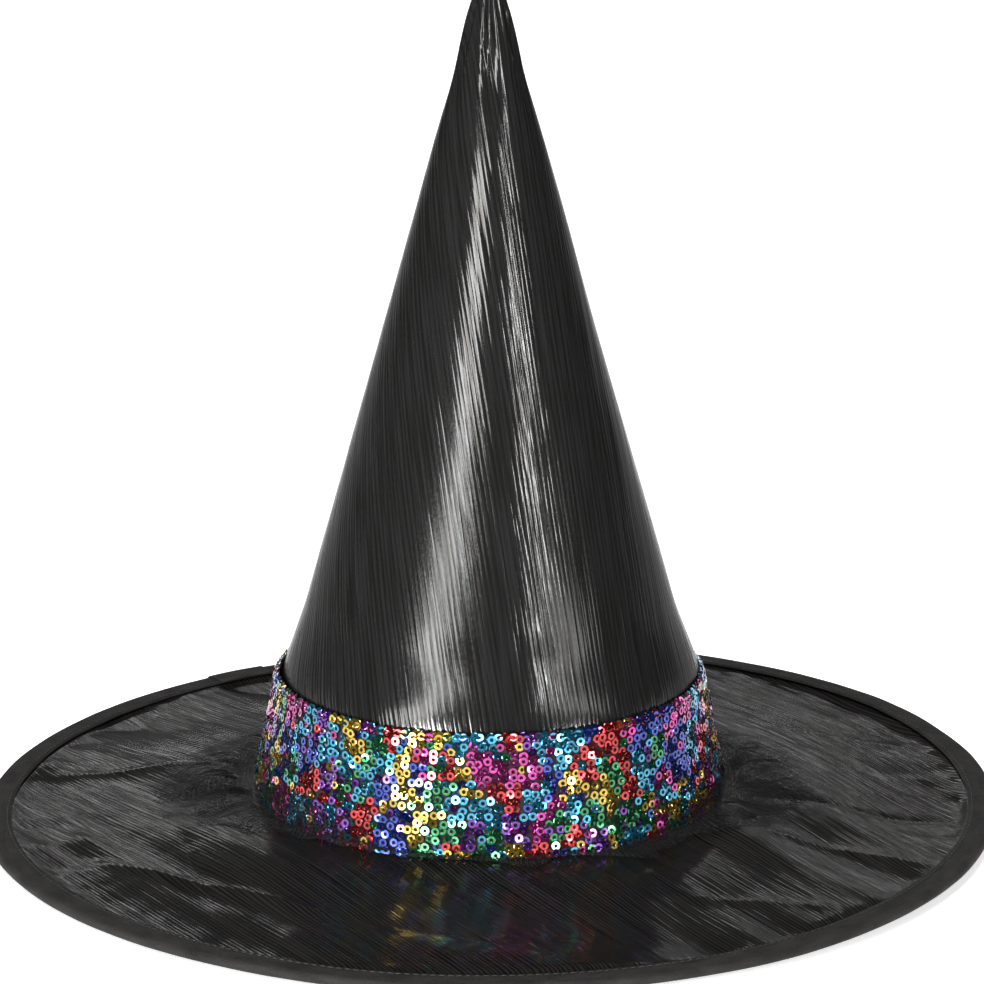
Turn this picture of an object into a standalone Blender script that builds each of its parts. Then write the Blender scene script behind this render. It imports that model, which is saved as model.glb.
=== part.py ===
"""Black costume witch hat: wired satin brim, stiffened satin cone, sequin band and gathered tulle.

Metres, +Z up. The origin is the centre of the rim on the surface that the hat stands on.
-Y is the front, and the crown's seam and the other joins lie at the back, around +Y.
"""

import math

import bmesh
import bpy
from mathutils import Vector

MM = 0.001
SEGMENTS = 40                 # facets in a turn, the same for nested rings so that gaps stay even
GAP = 0.3                     # clearance between touching layers, mm
BACK = 90.0                   # direction of the back seam, degrees from +X
UP = Vector((0.0, 0.0, 1.0))

# Driving sizes, mm
RIM_RADIUS = 204.0
HAT_HEIGHT = 350.0
HEAD_RADIUS = 92.4            # outside of the crown where it meets the brim
CROWN_BASE_Z = 13.4
CONE_RADIUS_AT_0 = 98.6       # the cone's straight side, carried down to the floor
CONE_SLOPE = 0.280            # radius lost for each millimetre of height
FLARE_FROM_Z = 87.5           # below this the cone spreads a little towards the band
FLARE_TO_Z = 62.5
FLARE = 1.8
PINCH_Z = 302.0               # where the stiffener ends and the satin tip draws in
PINCH_DEPTH = 1.0
PINCH_SPREAD = 14.0
CONE_HEIGHTS = (FLARE_TO_Z, 75.0, FLARE_FROM_Z, 275.0, 290.0)   # levels of the cone's rings of corners
TIP_SHOULDER_Z = 345.0
TIP_THICKNESS = 2.0
SEAM_SPREAD = 4.0             # half-width of the back seam's turned allowance, degrees

SATIN = 0.5
INTERLINING = 1.0
INTERLINING_TOP = 299.0
CREPE = 0.35                  # brim cloth
BRIM_CORE = 0.8
TAPE = 0.5
TAPE_WIDTH = 11.0
EDGE_CORNER = 0.9             # bevel of the folded tape at the rim
WIRE_RADIUS = 0.6
FERRULE_LENGTH = 12.0
FERRULE_WALL = 0.3
FERRULE_BORE_GAP = 0.2
THREAD = 0.4                  # thread diameter
BARTACK_Z = 325.0
BARTACK_RADIUS = 0.6
LABEL = 0.4                   # thickness of the label's cloth
LABEL_BOTTOM_Z = 37.7
LABEL_TOP_Z = 61.7
LABEL_STITCH_Z = 40.2

BAND_BOTTOM_RADIUS = 94.9
BAND_TOP_RADIUS = 86.8
BAND_TOP_Z = 60.1
SEQUIN_DEPTH = 1.0
BAND_NET = 0.5
BAND_LAP = 0.8                # thickness of the band's lapped end
BAND_TACK_Z = 53.0
BAND_TACK_RADIUS = 0.5
TULLE_RADIUS = 126.0
TULLE_HEIGHT = 9.0
COLLAR_TOP_Z = 20.7
SWEATBAND = 0.5
SWEATBAND_BOTTOM_Z = 11.9
SWEATBAND_TOP_Z = 34.7
SWEATBAND_STITCH_Z = 15.7

# Offsets inwards from the crown's outer surface, mm
CORE_OFFSET = SATIN + GAP
LINED_OFFSET = CORE_OFFSET + INTERLINING
SWEATBAND_OFFSET = LINED_OFFSET + GAP + THREAD + GAP

WIRE_RING_RADIUS = RIM_RADIUS - TAPE - 2.0 * GAP - WIRE_RADIUS

# Heights of the brim's layers at the rim, mm
UNDER_Z = TAPE + GAP
CORE_Z = UNDER_Z + CREPE + GAP
TOP_Z = CORE_Z + BRIM_CORE + GAP
RIM_THICKNESS = TOP_Z + CREPE + GAP + TAPE
BRIM_FLAT_FROM = 188.0        # the brim is level outside this radius
BRIM_RISE = CROWN_BASE_Z - GAP - CREPE - TOP_Z


def clear_scene():
    for item in list(bpy.data.objects):
        bpy.data.objects.remove(item, do_unlink=True)


def material(name, colour, roughness, metallic=0.0):
    made = bpy.data.materials.new(name)
    made.use_nodes = True
    shader = made.node_tree.nodes["Principled BSDF"]
    shader.inputs["Base Color"].default_value = (*colour, 1.0)
    shader.inputs["Roughness"].default_value = roughness
    shader.inputs["Metallic"].default_value = metallic
    made.diffuse_color = (*colour, 1.0)
    return made


def finish(name, shape, look, sharp_degrees=40.0):
    """Turn a bmesh with outward faces into a named, smooth-shaded object."""
    bmesh.ops.recalc_face_normals(shape, faces=shape.faces)
    mesh = bpy.data.meshes.new(name)
    shape.to_mesh(mesh)
    shape.free()
    mesh.shade_smooth()
    mesh.set_sharp_from_angle(angle=math.radians(sharp_degrees))
    mesh.materials.append(look)
    made = bpy.data.objects.new(name, mesh)
    bpy.context.scene.collection.objects.link(made)
    return made


def polar(radius, degrees, height):
    angle = math.radians(degrees)
    return Vector((radius * math.cos(angle), radius * math.sin(angle), height)) * MM


def lathe(name, section, look):
    """Turn a closed section of (radius, height) points through a full turn; radius 0 is the axis."""
    shape = bmesh.new()
    rings = []
    for radius, height in section:
        if radius == 0.0:
            rings.append([shape.verts.new((0.0, 0.0, height * MM))] * SEGMENTS)
            continue
        angles = [360.0 * step / SEGMENTS for step in range(SEGMENTS)]
        rings.append([shape.verts.new(polar(radius, angle, height)) for angle in angles])
    on_axis = [radius == 0.0 for radius, _ in section]
    for row, ring in enumerate(rings):
        following = (row + 1) % len(rings)
        if on_axis[row] and on_axis[following]:
            continue
        upper = rings[following]
        for step in range(SEGMENTS):
            after = (step + 1) % SEGMENTS
            corners = [ring[step], ring[after], upper[after], upper[step]]
            shape.faces.new(list(dict.fromkeys(corners)))
    return finish(name, shape, look)


def arc(name, section, start, end, steps, look):
    """Turn a closed section from one angle to another and cap both ends."""
    shape = bmesh.new()
    rings = []
    for step in range(steps + 1):
        angle = start + (end - start) * step / steps
        rings.append([shape.verts.new(polar(radius, angle, height)) for radius, height in section])
    count = len(section)
    for ring, following in zip(rings, rings[1:]):
        for point in range(count):
            after = (point + 1) % count
            shape.faces.new((ring[point], ring[after], following[after], following[point]))
    shape.faces.new(rings[0])
    shape.faces.new(list(reversed(rings[-1])))
    return finish(name, shape, look)


def sweep(shape, points, radius, sides, across=None):
    """Rings of corners round a path in metres, joined into a wall; across keeps one side's direction."""
    rings = []
    for index, point in enumerate(points):
        before = points[max(index - 1, 0)]
        after = points[min(index + 1, len(points) - 1)]
        along = (after - before).normalized()
        side = (across - along * across.dot(along)).normalized() if across else along.cross(UP)
        other = along.cross(side)
        ring = []
        for corner in range(sides):
            turn = 2.0 * math.pi * corner / sides
            offset = (side * math.cos(turn) + other * math.sin(turn)) * radius * MM
            ring.append(shape.verts.new(point + offset))
        rings.append(ring)
    for ring, following in zip(rings, rings[1:]):
        for corner in range(sides):
            after = (corner + 1) % sides
            shape.faces.new((ring[corner], ring[after], following[after], following[corner]))
    return rings


def tube(name, points, radius, look, sides=6, bore=0.0):
    """A round bar, or with a bore an open tube, along points in metres that hardly bend."""
    shape = bmesh.new()
    across = (points[-1] - points[0]).orthogonal().normalized()
    sizes = [radius, bore] if bore else [radius]
    layers = [sweep(shape, points, size, sides, across) for size in sizes]
    if not bore:
        shape.faces.new(layers[0][0])
        shape.faces.new(list(reversed(layers[0][-1])))
        return finish(name, shape, look)
    for end in (0, -1):
        outer = layers[0][end]
        inner = layers[1][end]
        for corner in range(sides):
            after = (corner + 1) % sides
            shape.faces.new((outer[corner], inner[corner], inner[after], outer[after]))
    return finish(name, shape, look)


def rectangle(inner, outer, bottom, top):
    return [(inner, bottom), (outer, bottom), (outer, top), (inner, top)]


def smooth_step(value):
    value = min(max(value, 0.0), 1.0)
    return value * value * (3.0 - 2.0 * value)


def crown_radius(height):
    """Outside of the cone at a height: straight sides, a drawn-in tip and a more upright foot."""
    if height < FLARE_TO_Z:
        share = (FLARE_TO_Z - max(height, CROWN_BASE_Z)) / (FLARE_TO_Z - CROWN_BASE_Z)
        foot_top = crown_radius(FLARE_TO_Z)
        return foot_top + (HEAD_RADIUS - foot_top) * share
    straight = CONE_RADIUS_AT_0 - CONE_SLOPE * height
    pinch = PINCH_DEPTH * math.exp(-((height - PINCH_Z) / PINCH_SPREAD) ** 2)
    flare = FLARE * smooth_step((FLARE_FROM_Z - height) / (FLARE_FROM_Z - FLARE_TO_Z))
    return straight - pinch + flare


def brim_rise(radius):
    """How far the brim has risen above its level at the rim."""
    share = (BRIM_FLAT_FROM - radius) / (BRIM_FLAT_FROM - HEAD_RADIUS)
    return BRIM_RISE * smooth_step(share) if share < 1.0 else BRIM_RISE


def band_radius(height):
    share = (height - CROWN_BASE_Z) / (BAND_TOP_Z - CROWN_BASE_Z)
    return BAND_BOTTOM_RADIUS + (BAND_TOP_RADIUS - BAND_BOTTOM_RADIUS) * share


def crown_wall(heights, outer_offset, thickness):
    """Closed section of a layer that follows the cone, at an offset inside its outer surface."""
    outer = [(crown_radius(height) - outer_offset, height) for height in heights]
    inner = [(radius - thickness, height) for radius, height in reversed(outer)]
    return outer + inner


def brim_layer(inner_radius, outer_radius, rim_height, thickness):
    """Closed section of a brim layer that lies level at the rim and rises to the crown."""
    radii = [inner_radius, 118.0, 154.0, BRIM_FLAT_FROM, outer_radius]
    lower = [(radius, rim_height + brim_rise(radius)) for radius in radii]
    upper = [(radius, height + thickness) for radius, height in reversed(lower)]
    return lower + upper


def crown_shell(look):
    heights = [CROWN_BASE_Z, *CONE_HEIGHTS, 302.0, 316.0, 336.0]
    outer = [(crown_radius(height), height) for height in heights + [TIP_SHOULDER_Z]]
    tip = [(0.0, HAT_HEIGHT), (0.0, HAT_HEIGHT - TIP_THICKNESS)]
    inner = [(crown_radius(height) - SATIN, height) for height in reversed(heights)]
    lathe("crown_shell", outer + tip + inner, look)


def crown_interlining(look):
    heights = [CROWN_BASE_Z, *CONE_HEIGHTS, INTERLINING_TOP]
    lathe("crown_interlining", crown_wall(heights, CORE_OFFSET, INTERLINING), look)


def crown_seam(cloth, thread):
    """The back seam's turned allowance inside the cone, and the line of stitches along it."""
    heights = [SWEATBAND_TOP_Z + 4.0, *CONE_HEIGHTS]
    clearance = LINED_OFFSET + 2.0 * GAP
    section = crown_wall(heights, clearance, SATIN)
    arc("crown_seam_allowance", section, BACK - SEAM_SPREAD, BACK + SEAM_SPREAD, 4, cloth)
    centre = clearance + SATIN + GAP + THREAD / 2.0
    points = [polar(crown_radius(height) - centre, BACK, height) for height in heights]
    tube("crown_seam_thread", points, THREAD / 2.0, thread)


def tip_bartack(thread):
    """The short bar of thread through the cone that holds the gathered tip."""
    reach = crown_radius(BARTACK_Z) - SATIN - 2.0 * GAP
    points = [polar(reach, 180.0, BARTACK_Z), polar(reach, 0.0, BARTACK_Z)]
    tube("tip_bartack", points, BARTACK_RADIUS, thread)


def brim_layers(cloth, core):
    """Top cloth, stiff core and under cloth; the under cloth turns up inside the crown as a collar."""
    edge = WIRE_RING_RADIUS - WIRE_RADIUS - FERRULE_BORE_GAP - FERRULE_WALL - GAP
    inner = HEAD_RADIUS - CORE_OFFSET - INTERLINING
    lathe("brim_top_cover", brim_layer(inner, edge, TOP_Z, CREPE), cloth)
    lathe("brim_interlining", brim_layer(inner, edge, CORE_Z, BRIM_CORE), core)
    under = brim_layer(inner, edge, UNDER_Z, CREPE)
    half = len(under) // 2
    collar_outer = LINED_OFFSET + GAP
    collar_radius = crown_radius(CROWN_BASE_Z) - collar_outer
    foot_z = UNDER_Z + brim_rise(inner)
    top_radius = crown_radius(COLLAR_TOP_Z) - collar_outer
    collar = [
        (collar_radius, foot_z + CREPE),
        (top_radius, COLLAR_TOP_Z),
        (top_radius - THREAD, COLLAR_TOP_Z),
        (collar_radius - THREAD, foot_z),
    ]
    lathe("brim_under_cover", under[1:half] + under[half:-1] + collar, cloth)


def brim_wire(steel):
    """The hoop in the rim, its two ends meeting inside a crimped ferrule on the back-left chord."""
    centre = WIRE_RING_RADIUS
    middle_z = RIM_THICKNESS / 2.0
    step = 360.0 / SEGMENTS
    join = 11                                      # the join lies between ring corners 11 and 12
    corners = [polar(centre, step * (join + 1 + index), middle_z) for index in range(SEGMENTS)]
    first = corners[-1].lerp(corners[0], 0.54)
    last = corners[-1].lerp(corners[0], 0.46)
    ring_wire("brim_wire", [first] + corners + [last], WIRE_RADIUS, steel)
    middle = corners[-1].lerp(corners[0], 0.5)
    along = (corners[0] - corners[-1]).normalized() * FERRULE_LENGTH * MM / 2.0
    bore = WIRE_RADIUS + FERRULE_BORE_GAP
    tube("brim_wire_ferrule", [middle - along, middle + along], bore + FERRULE_WALL, steel, 8, bore)


def ring_wire(name, points, radius, look, sides=6):
    """A round bar along points that lie in one level, such as an open hoop."""
    shape = bmesh.new()
    rings = sweep(shape, points, radius, sides)
    shape.faces.new(rings[0])
    shape.faces.new(list(reversed(rings[-1])))
    return finish(name, shape, look)


def thread_section(radius, height):
    half = THREAD / 2.0
    return [
        (radius - half, height),
        (radius, height - half),
        (radius + half, height),
        (radius, height + half),
    ]


def thread_ring(name, radius, height, look):
    """A row of stitches round the hat, as one closed ring of thread."""
    lathe(name, thread_section(radius, height), look)


def rim_binding(tape, thread):
    """Folded tape round the brim's edge, its overlapping end and both threads of its stitching."""
    inner = RIM_RADIUS - TAPE_WIDTH
    top = RIM_THICKNESS
    corner = EDGE_CORNER
    section = [
        (inner, 0.0),
        (RIM_RADIUS - corner, 0.0),
        (RIM_RADIUS, corner),
        (RIM_RADIUS, top - corner),
        (RIM_RADIUS - corner, top),
        (inner, top),
        (inner, top - TAPE),
        (RIM_RADIUS - corner - TAPE / 2.0, top - TAPE),
        (RIM_RADIUS - TAPE, top - corner - TAPE / 2.0),
        (RIM_RADIUS - TAPE, corner + TAPE / 2.0),
        (RIM_RADIUS - corner - TAPE / 2.0, TAPE),
        (inner, TAPE),
    ]
    lathe("rim_binding", section, tape)
    lap_inner = inner - 0.6
    outer = RIM_RADIUS + 2.0 * GAP
    lap = [
        (lap_inner, top + GAP),
        (outer, top + GAP),
        (outer, GAP),
        (outer + TAPE, GAP),
        (outer + TAPE, top + GAP + TAPE),
        (lap_inner, top + GAP + TAPE),
    ]
    arc("rim_binding_end", lap, 120.0, 127.5, 2, tape)
    stitch = inner - THREAD / 2.0 - GAP
    thread_ring("rim_needle_thread", stitch, TOP_Z + CREPE + GAP + THREAD / 2.0, thread)
    thread_ring("rim_bobbin_thread", stitch, THREAD / 2.0 + 0.1, thread)


def head_opening(ribbon, thread):
    """Stitches joining crown to brim, and the ribbon inside the head opening with its lapped end."""
    seam_z = COLLAR_TOP_Z + 1.0
    seam_radius = crown_radius(seam_z) - LINED_OFFSET - GAP - THREAD / 2.0
    thread_ring("head_seam_thread", seam_radius, seam_z, thread)
    heights = [SWEATBAND_BOTTOM_Z, CROWN_BASE_Z + 6.0, SWEATBAND_TOP_Z]
    lathe("sweatband", crown_wall(heights, SWEATBAND_OFFSET, SWEATBAND), ribbon)
    lap = crown_wall(heights, SWEATBAND_OFFSET + SWEATBAND + 2.0 * GAP, SWEATBAND)
    arc("sweatband_lap", lap, BACK + 6.0, BACK + 13.0, 4, ribbon)
    lap_inside = SWEATBAND_OFFSET + 2.0 * SWEATBAND + 2.0 * GAP
    stitch_radius = crown_radius(SWEATBAND_STITCH_Z) - lap_inside - GAP - THREAD
    thread_ring("sweatband_thread", stitch_radius, SWEATBAND_STITCH_Z, thread)


def care_label(cloth, thread):
    """A blank woven tab on the inside of the cone, above the ribbon."""
    clearance = LINED_OFFSET + 2.0 * GAP
    section = crown_wall([LABEL_BOTTOM_Z, LABEL_TOP_Z], clearance, LABEL)
    arc("care_label", section, BACK - 22.0, BACK - 8.0, 6, cloth)
    centre = clearance + LABEL + 2.0 * GAP + THREAD / 2.0
    section = thread_section(crown_radius(LABEL_STITCH_Z) - centre, LABEL_STITCH_Z)
    arc("care_label_thread", section, BACK - 21.0, BACK - 9.0, 6, thread)


def band_ring(outer_offset, thickness, bottom):
    outer = [(band_radius(height) - outer_offset, height) for height in (bottom, BAND_TOP_Z)]
    inner = [(radius - thickness, height) for radius, height in reversed(outer)]
    return outer + inner


def sequin_band(sequin, net, thread):
    """The net that carries the sequins, the sequin layer, the lapped join and four tacks to the crown."""
    bottom = CROWN_BASE_Z + 0.2
    net_offset = SEQUIN_DEPTH + GAP
    lathe("sequin_layer", band_ring(0.0, SEQUIN_DEPTH, bottom), sequin)
    lathe("sequin_net", band_ring(net_offset, BAND_NET, bottom), net)
    lap_bottom = CROWN_BASE_Z + TULLE_HEIGHT + 2.0 * GAP
    lap = band_ring(-(2.0 * GAP + BAND_LAP), BAND_LAP, lap_bottom)
    arc("sequin_band_lap", lap, BACK - 3.0, BACK + 5.0, 4, sequin)
    outside = band_radius(BAND_TACK_Z) - net_offset - BAND_NET - 2.0 * GAP
    inside = crown_radius(BAND_TACK_Z) + GAP
    for number, angle in enumerate((27.0, 117.0, 207.0, 297.0), start=1):
        points = [polar(inside, angle, BAND_TACK_Z), polar(outside, angle, BAND_TACK_Z)]
        tube(f"sequin_band_tack_{number}", points, BAND_TACK_RADIUS, thread)


def tulle(net, thread):
    """Gathered net that spreads over the brim from the foot of the band, and what holds it."""
    top = TOP_Z + CREPE + GAP
    inner = BAND_BOTTOM_RADIUS + GAP + 0.2
    foot = [(radius, top + brim_rise(radius)) for radius in (inner, 108.0, 118.0, TULLE_RADIUS)]
    crest = [
        (TULLE_RADIUS, foot[-1][1] + 1.6),
        (112.0, top + brim_rise(112.0) + 0.62 * TULLE_HEIGHT),
        (inner + 4.0, foot[0][1] + TULLE_HEIGHT),
        (inner, foot[0][1] + TULLE_HEIGHT),
    ]
    lathe("tulle_wrap", foot + crest, net)
    gathered = (HEAD_RADIUS + 0.25, HEAD_RADIUS + 0.5, CROWN_BASE_Z + 0.5, CROWN_BASE_Z + 1.0)
    lathe("tulle_gather_thread", rectangle(*gathered), thread)
    knot_z = foot[0][1] + TULLE_HEIGHT + GAP
    knot = rectangle(inner + 0.5, inner + 1.5, knot_z, knot_z + 2.0 * THREAD)
    for number, angle in enumerate((221.0, 266.0, 303.0), start=1):
        arc(f"tulle_tack_{number}", knot, angle - 1.5, angle + 1.5, 1, thread)


def build():
    clear_scene()
    crown_satin = material("crown_satin", (0.013, 0.012, 0.011), 0.32)
    brim_cloth = material("brim_satin", (0.016, 0.015, 0.014), 0.42)
    stiffener = material("interlining", (0.035, 0.035, 0.036), 0.92)
    tape = material("binding_tape", (0.012, 0.012, 0.013), 0.8)
    thread = material("thread", (0.010, 0.010, 0.010), 0.6)
    steel = material("wire_steel", (0.55, 0.55, 0.56), 0.35, 1.0)
    sequin = material("sequin", (0.15, 0.35, 0.65), 0.2, 0.6)
    band_net = material("sequin_net", (0.012, 0.012, 0.012), 0.85)
    tulle_net = material("tulle_net", (0.014, 0.014, 0.014), 0.7)
    ribbon = material("ribbon", (0.014, 0.014, 0.015), 0.65)
    label = material("label_satin", (0.72, 0.72, 0.70), 0.5)
    crown_shell(crown_satin)
    crown_interlining(stiffener)
    crown_seam(crown_satin, thread)
    tip_bartack(thread)
    brim_layers(brim_cloth, stiffener)
    brim_wire(steel)
    rim_binding(tape, thread)
    head_opening(ribbon, thread)
    care_label(label, thread)
    sequin_band(sequin, band_net, thread)
    tulle(tulle_net, thread)


build()
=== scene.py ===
"""Looks of a black costume witch hat: crinkled satin cone and brim, bound rim, ring sequins and gathered net.

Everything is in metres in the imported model's frame: +Z up, -Y the front, the origin on the floor under
the tip. Lengths that describe cloth are easier to read in millimetres, so they are written as number * MM.
"""

import math

import bmesh
import bpy
import numpy as np
from mathutils import Matrix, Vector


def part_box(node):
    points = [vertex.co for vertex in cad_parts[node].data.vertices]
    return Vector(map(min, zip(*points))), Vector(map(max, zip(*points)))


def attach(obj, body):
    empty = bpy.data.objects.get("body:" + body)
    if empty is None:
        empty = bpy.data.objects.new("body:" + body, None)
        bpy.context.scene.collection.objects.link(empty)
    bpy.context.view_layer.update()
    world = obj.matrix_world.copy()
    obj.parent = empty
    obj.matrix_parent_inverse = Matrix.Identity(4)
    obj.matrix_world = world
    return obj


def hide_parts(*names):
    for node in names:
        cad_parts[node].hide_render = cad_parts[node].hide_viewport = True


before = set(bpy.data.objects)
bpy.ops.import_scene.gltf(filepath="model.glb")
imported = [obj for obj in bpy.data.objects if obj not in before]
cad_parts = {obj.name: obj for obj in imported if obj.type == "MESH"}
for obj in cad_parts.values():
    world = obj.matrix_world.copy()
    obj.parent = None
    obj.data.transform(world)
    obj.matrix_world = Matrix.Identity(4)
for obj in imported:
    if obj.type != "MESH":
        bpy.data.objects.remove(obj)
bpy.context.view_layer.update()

MM = 0.001
TAU = 2.0 * math.pi
FRONT = -0.5 * math.pi                      # direction of -Y round the hat, from +X
BACK = 0.5 * math.pi

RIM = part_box("rim_binding")[1].x
TIP_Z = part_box("crown_shell")[1].z
CROWN_FOOT_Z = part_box("crown_shell")[0].z
CROWN_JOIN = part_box("crown_shell")[1].x
BAND_LOW, BAND_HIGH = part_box("sequin_layer")

random = np.random.default_rng(20)


# ---- numbers read from the frame

def cad_points(node):
    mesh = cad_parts[node].data
    points = np.zeros(len(mesh.vertices) * 3, np.float32)
    mesh.vertices.foreach_get("co", points)
    return points.reshape(-1, 3).astype(float)


def turned_profile(node, by_height=True):
    """Heights (or else radii) of a turned CAD piece, and the largest radius (or height) at each of them."""
    points = cad_points(node)
    pair = [points[:, 2], np.hypot(points[:, 0], points[:, 1])]
    level, value = pair if by_height else pair[::-1]
    levels = np.unique(np.round(level, 5))
    return levels, np.array([value[np.abs(level - one) < 2e-5].max() for one in levels])


def arc_of(node):
    """The angles where a turned CAD piece starts and ends, and whether it closes round the hat."""
    points = cad_points(node)
    turns = np.arctan2(points[:, 1], points[:, 0])
    return turns.min(), turns.max(), np.ptp(turns) > 1.9 * math.pi


CONE_Z, CONE_R = turned_profile("crown_shell")
BRIM_R, BRIM_Z = turned_profile("brim_top_cover", by_height=False)
BAND_Z, BAND_R = turned_profile("sequin_layer")
CONE_SLOPE = (np.interp(0.08, CONE_Z, CONE_R) - np.interp(0.24, CONE_Z, CONE_R)) / 0.16
APEX_Z = 0.24 + np.interp(0.24, CONE_Z, CONE_R) / CONE_SLOPE


def softened(value, xs, ys, reach):
    """A profile's value with its corners rounded over the reach."""
    steps = np.linspace(-reach, reach, 7)
    return np.mean([np.interp(value + step, xs, ys) for step in steps], axis=0)


def cone_radius(z):
    return softened(z, CONE_Z, CONE_R, 5.0 * MM)


def brim_top(radius):
    return softened(radius, BRIM_R, BRIM_Z, 6.0 * MM)


# ---- noise and small helpers

def lattice_noise(points, seed):
    """Smooth noise between -1 and 1 at an array of points, the same on every run."""
    base = np.floor(points).astype(np.int64)
    part = points - base
    fade = part * part * (3.0 - 2.0 * part)
    total = 0.0
    for corner in np.ndindex(2, 2, 2):
        x, y, z = np.moveaxis(base + corner, -1, 0)
        value = (x * 73856093) ^ (y * 19349663) ^ (z * 83492791) ^ (seed * 2654435761)
        value = (value ^ (value >> 13)) * 1274126177 & 0xFFFFFFFF
        value = (value ^ (value >> 16)) & 0xFFFF
        total = total + np.prod(np.where(corner, fade, 1.0 - fade), axis=-1) * (value / 32767.5 - 1.0)
    return total


def ring_noise(angle, along, around_count, along_size, seed):
    """Noise that closes on itself round the hat: about around_count bumps in a turn."""
    radius = around_count / TAU
    points = np.stack([radius * np.cos(angle), radius * np.sin(angle), along / along_size], axis=-1)
    return lattice_noise(points + 50.0, seed)


def smooth_step(low, high, value):
    share = np.clip((value - low) / (high - low), 0.0, 1.0)
    return share * share * (3.0 - 2.0 * share)


def bell(value, width):
    return np.exp(-(value / width) ** 2)


def turned(angle):
    """An angle brought into -pi to pi."""
    return (angle + math.pi) % TAU - math.pi


def ring(count, closing=0):
    """Angles of so many points spread evenly round the hat, with the first again if closing is 1."""
    return TAU * np.arange(count + closing) / count


def polar(radius, angle, z):
    return np.stack([radius * np.cos(angle), radius * np.sin(angle), z + 0.0 * radius * angle], axis=-1)


def cloth_noise(cloth, across, along, shift, seed):
    """Noise with bumps of across by along millimetres of cloth."""
    points = np.stack([cloth[..., 0] / across, cloth[..., 1] / along, 0.0 * cloth[..., 0]], axis=-1)
    return lattice_noise(points + shift, seed)


def link_object(name, data, **settings):
    """An object in the scene, with settings of its mesh, lamp or camera."""
    for key, value in settings.items():
        setattr(data, key, value)
    made = bpy.data.objects.new(name, data)
    bpy.context.scene.collection.objects.link(made)
    return made


def link_mesh(name, points, faces, look, uv=None, smooth=True):
    """A mesh object from arrays: points (n, 3), faces (m, 3 or 4), and uv per face corner in millimetres."""
    mesh = bpy.data.meshes.new(name)
    faces = np.asarray(faces, np.int32)
    corners = faces.shape[1]
    mesh.vertices.add(len(points))
    mesh.vertices.foreach_set("co", np.asarray(points, np.float32).ravel())
    mesh.loops.add(faces.size)
    mesh.loops.foreach_set("vertex_index", faces.ravel())
    mesh.polygons.add(len(faces))
    mesh.polygons.foreach_set("loop_start", np.arange(len(faces), dtype=np.int32) * corners)
    if uv is not None:
        layer = mesh.uv_layers.new(name="cloth")
        layer.data.foreach_set("uv", np.asarray(uv, np.float32).ravel())
    mesh.update(calc_edges=True)
    mesh.validate()
    mesh.polygons.foreach_set("use_smooth", [smooth] * len(mesh.polygons))
    mesh.materials.append(look)
    return link_object(name, mesh)


def grid_normals(points, closed=True):
    """Unit normals of a grid (rows, columns, 3): columns crossed with rows."""
    along = np.gradient(points, axis=0)
    if closed:
        around = np.roll(points, -1, axis=1) - np.roll(points, 1, axis=1)
    else:
        around = np.gradient(points, axis=1)
    normal = np.cross(around, along)
    return normal / np.maximum(np.linalg.norm(normal, axis=-1, keepdims=True), 1e-12)


def sheet_mesh(name, surface, cloth, thickness, look, closed=True):
    """A closed sheet of cloth from its outer surface (rows, columns, 3), with its back offset inwards.

    A sheet that closes round the hat is given with its first column once more at the end. Its faces share
    the first column's points there, and have the cloth coordinates of the last.
    """
    if closed:
        surface = surface[:, :-1]
    rows, columns = surface.shape[:2]
    inner = surface - grid_normals(surface, closed) * thickness
    points = np.concatenate([surface.reshape(-1, 3), inner.reshape(-1, 3)])
    index = np.arange(rows * columns).reshape(rows, columns)
    if closed:
        index = np.concatenate([index, index[:, :1]], axis=1)
    below = index + rows * columns

    def quads(grid):
        return np.stack([grid[:-1, :-1], grid[:-1, 1:], grid[1:, 1:], grid[1:, :-1]], axis=2)

    faces = [quads(index), quads(below)[:, :, ::-1]]
    uvs = [quads(cloth), quads(cloth)[:, :, ::-1]]
    borders = [(index[:1], below[:1], cloth[:1], True), (index[-1:], below[-1:], cloth[-1:], False)]
    if not closed:
        for column, flip in ((slice(0, 1), False), (slice(-1, None), True)):
            turned_cloth = np.swapaxes(cloth[:, column], 0, 1)
            borders.append((index[:, column].T, below[:, column].T, turned_cloth, flip))
    for upper, lower, edge_cloth, flip in borders:
        edge = quads(np.concatenate([upper, lower]))
        corner = quads(np.concatenate([edge_cloth, edge_cloth]))
        faces.append(edge[:, :, ::-1] if flip else edge)
        uvs.append(corner[:, :, ::-1] if flip else corner)
    faces = np.concatenate([part.reshape(-1, 4) for part in faces])
    uvs = np.concatenate([part.reshape(-1, 4, 2) for part in uvs])
    return link_mesh(name, points, faces, look, uvs)


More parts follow.
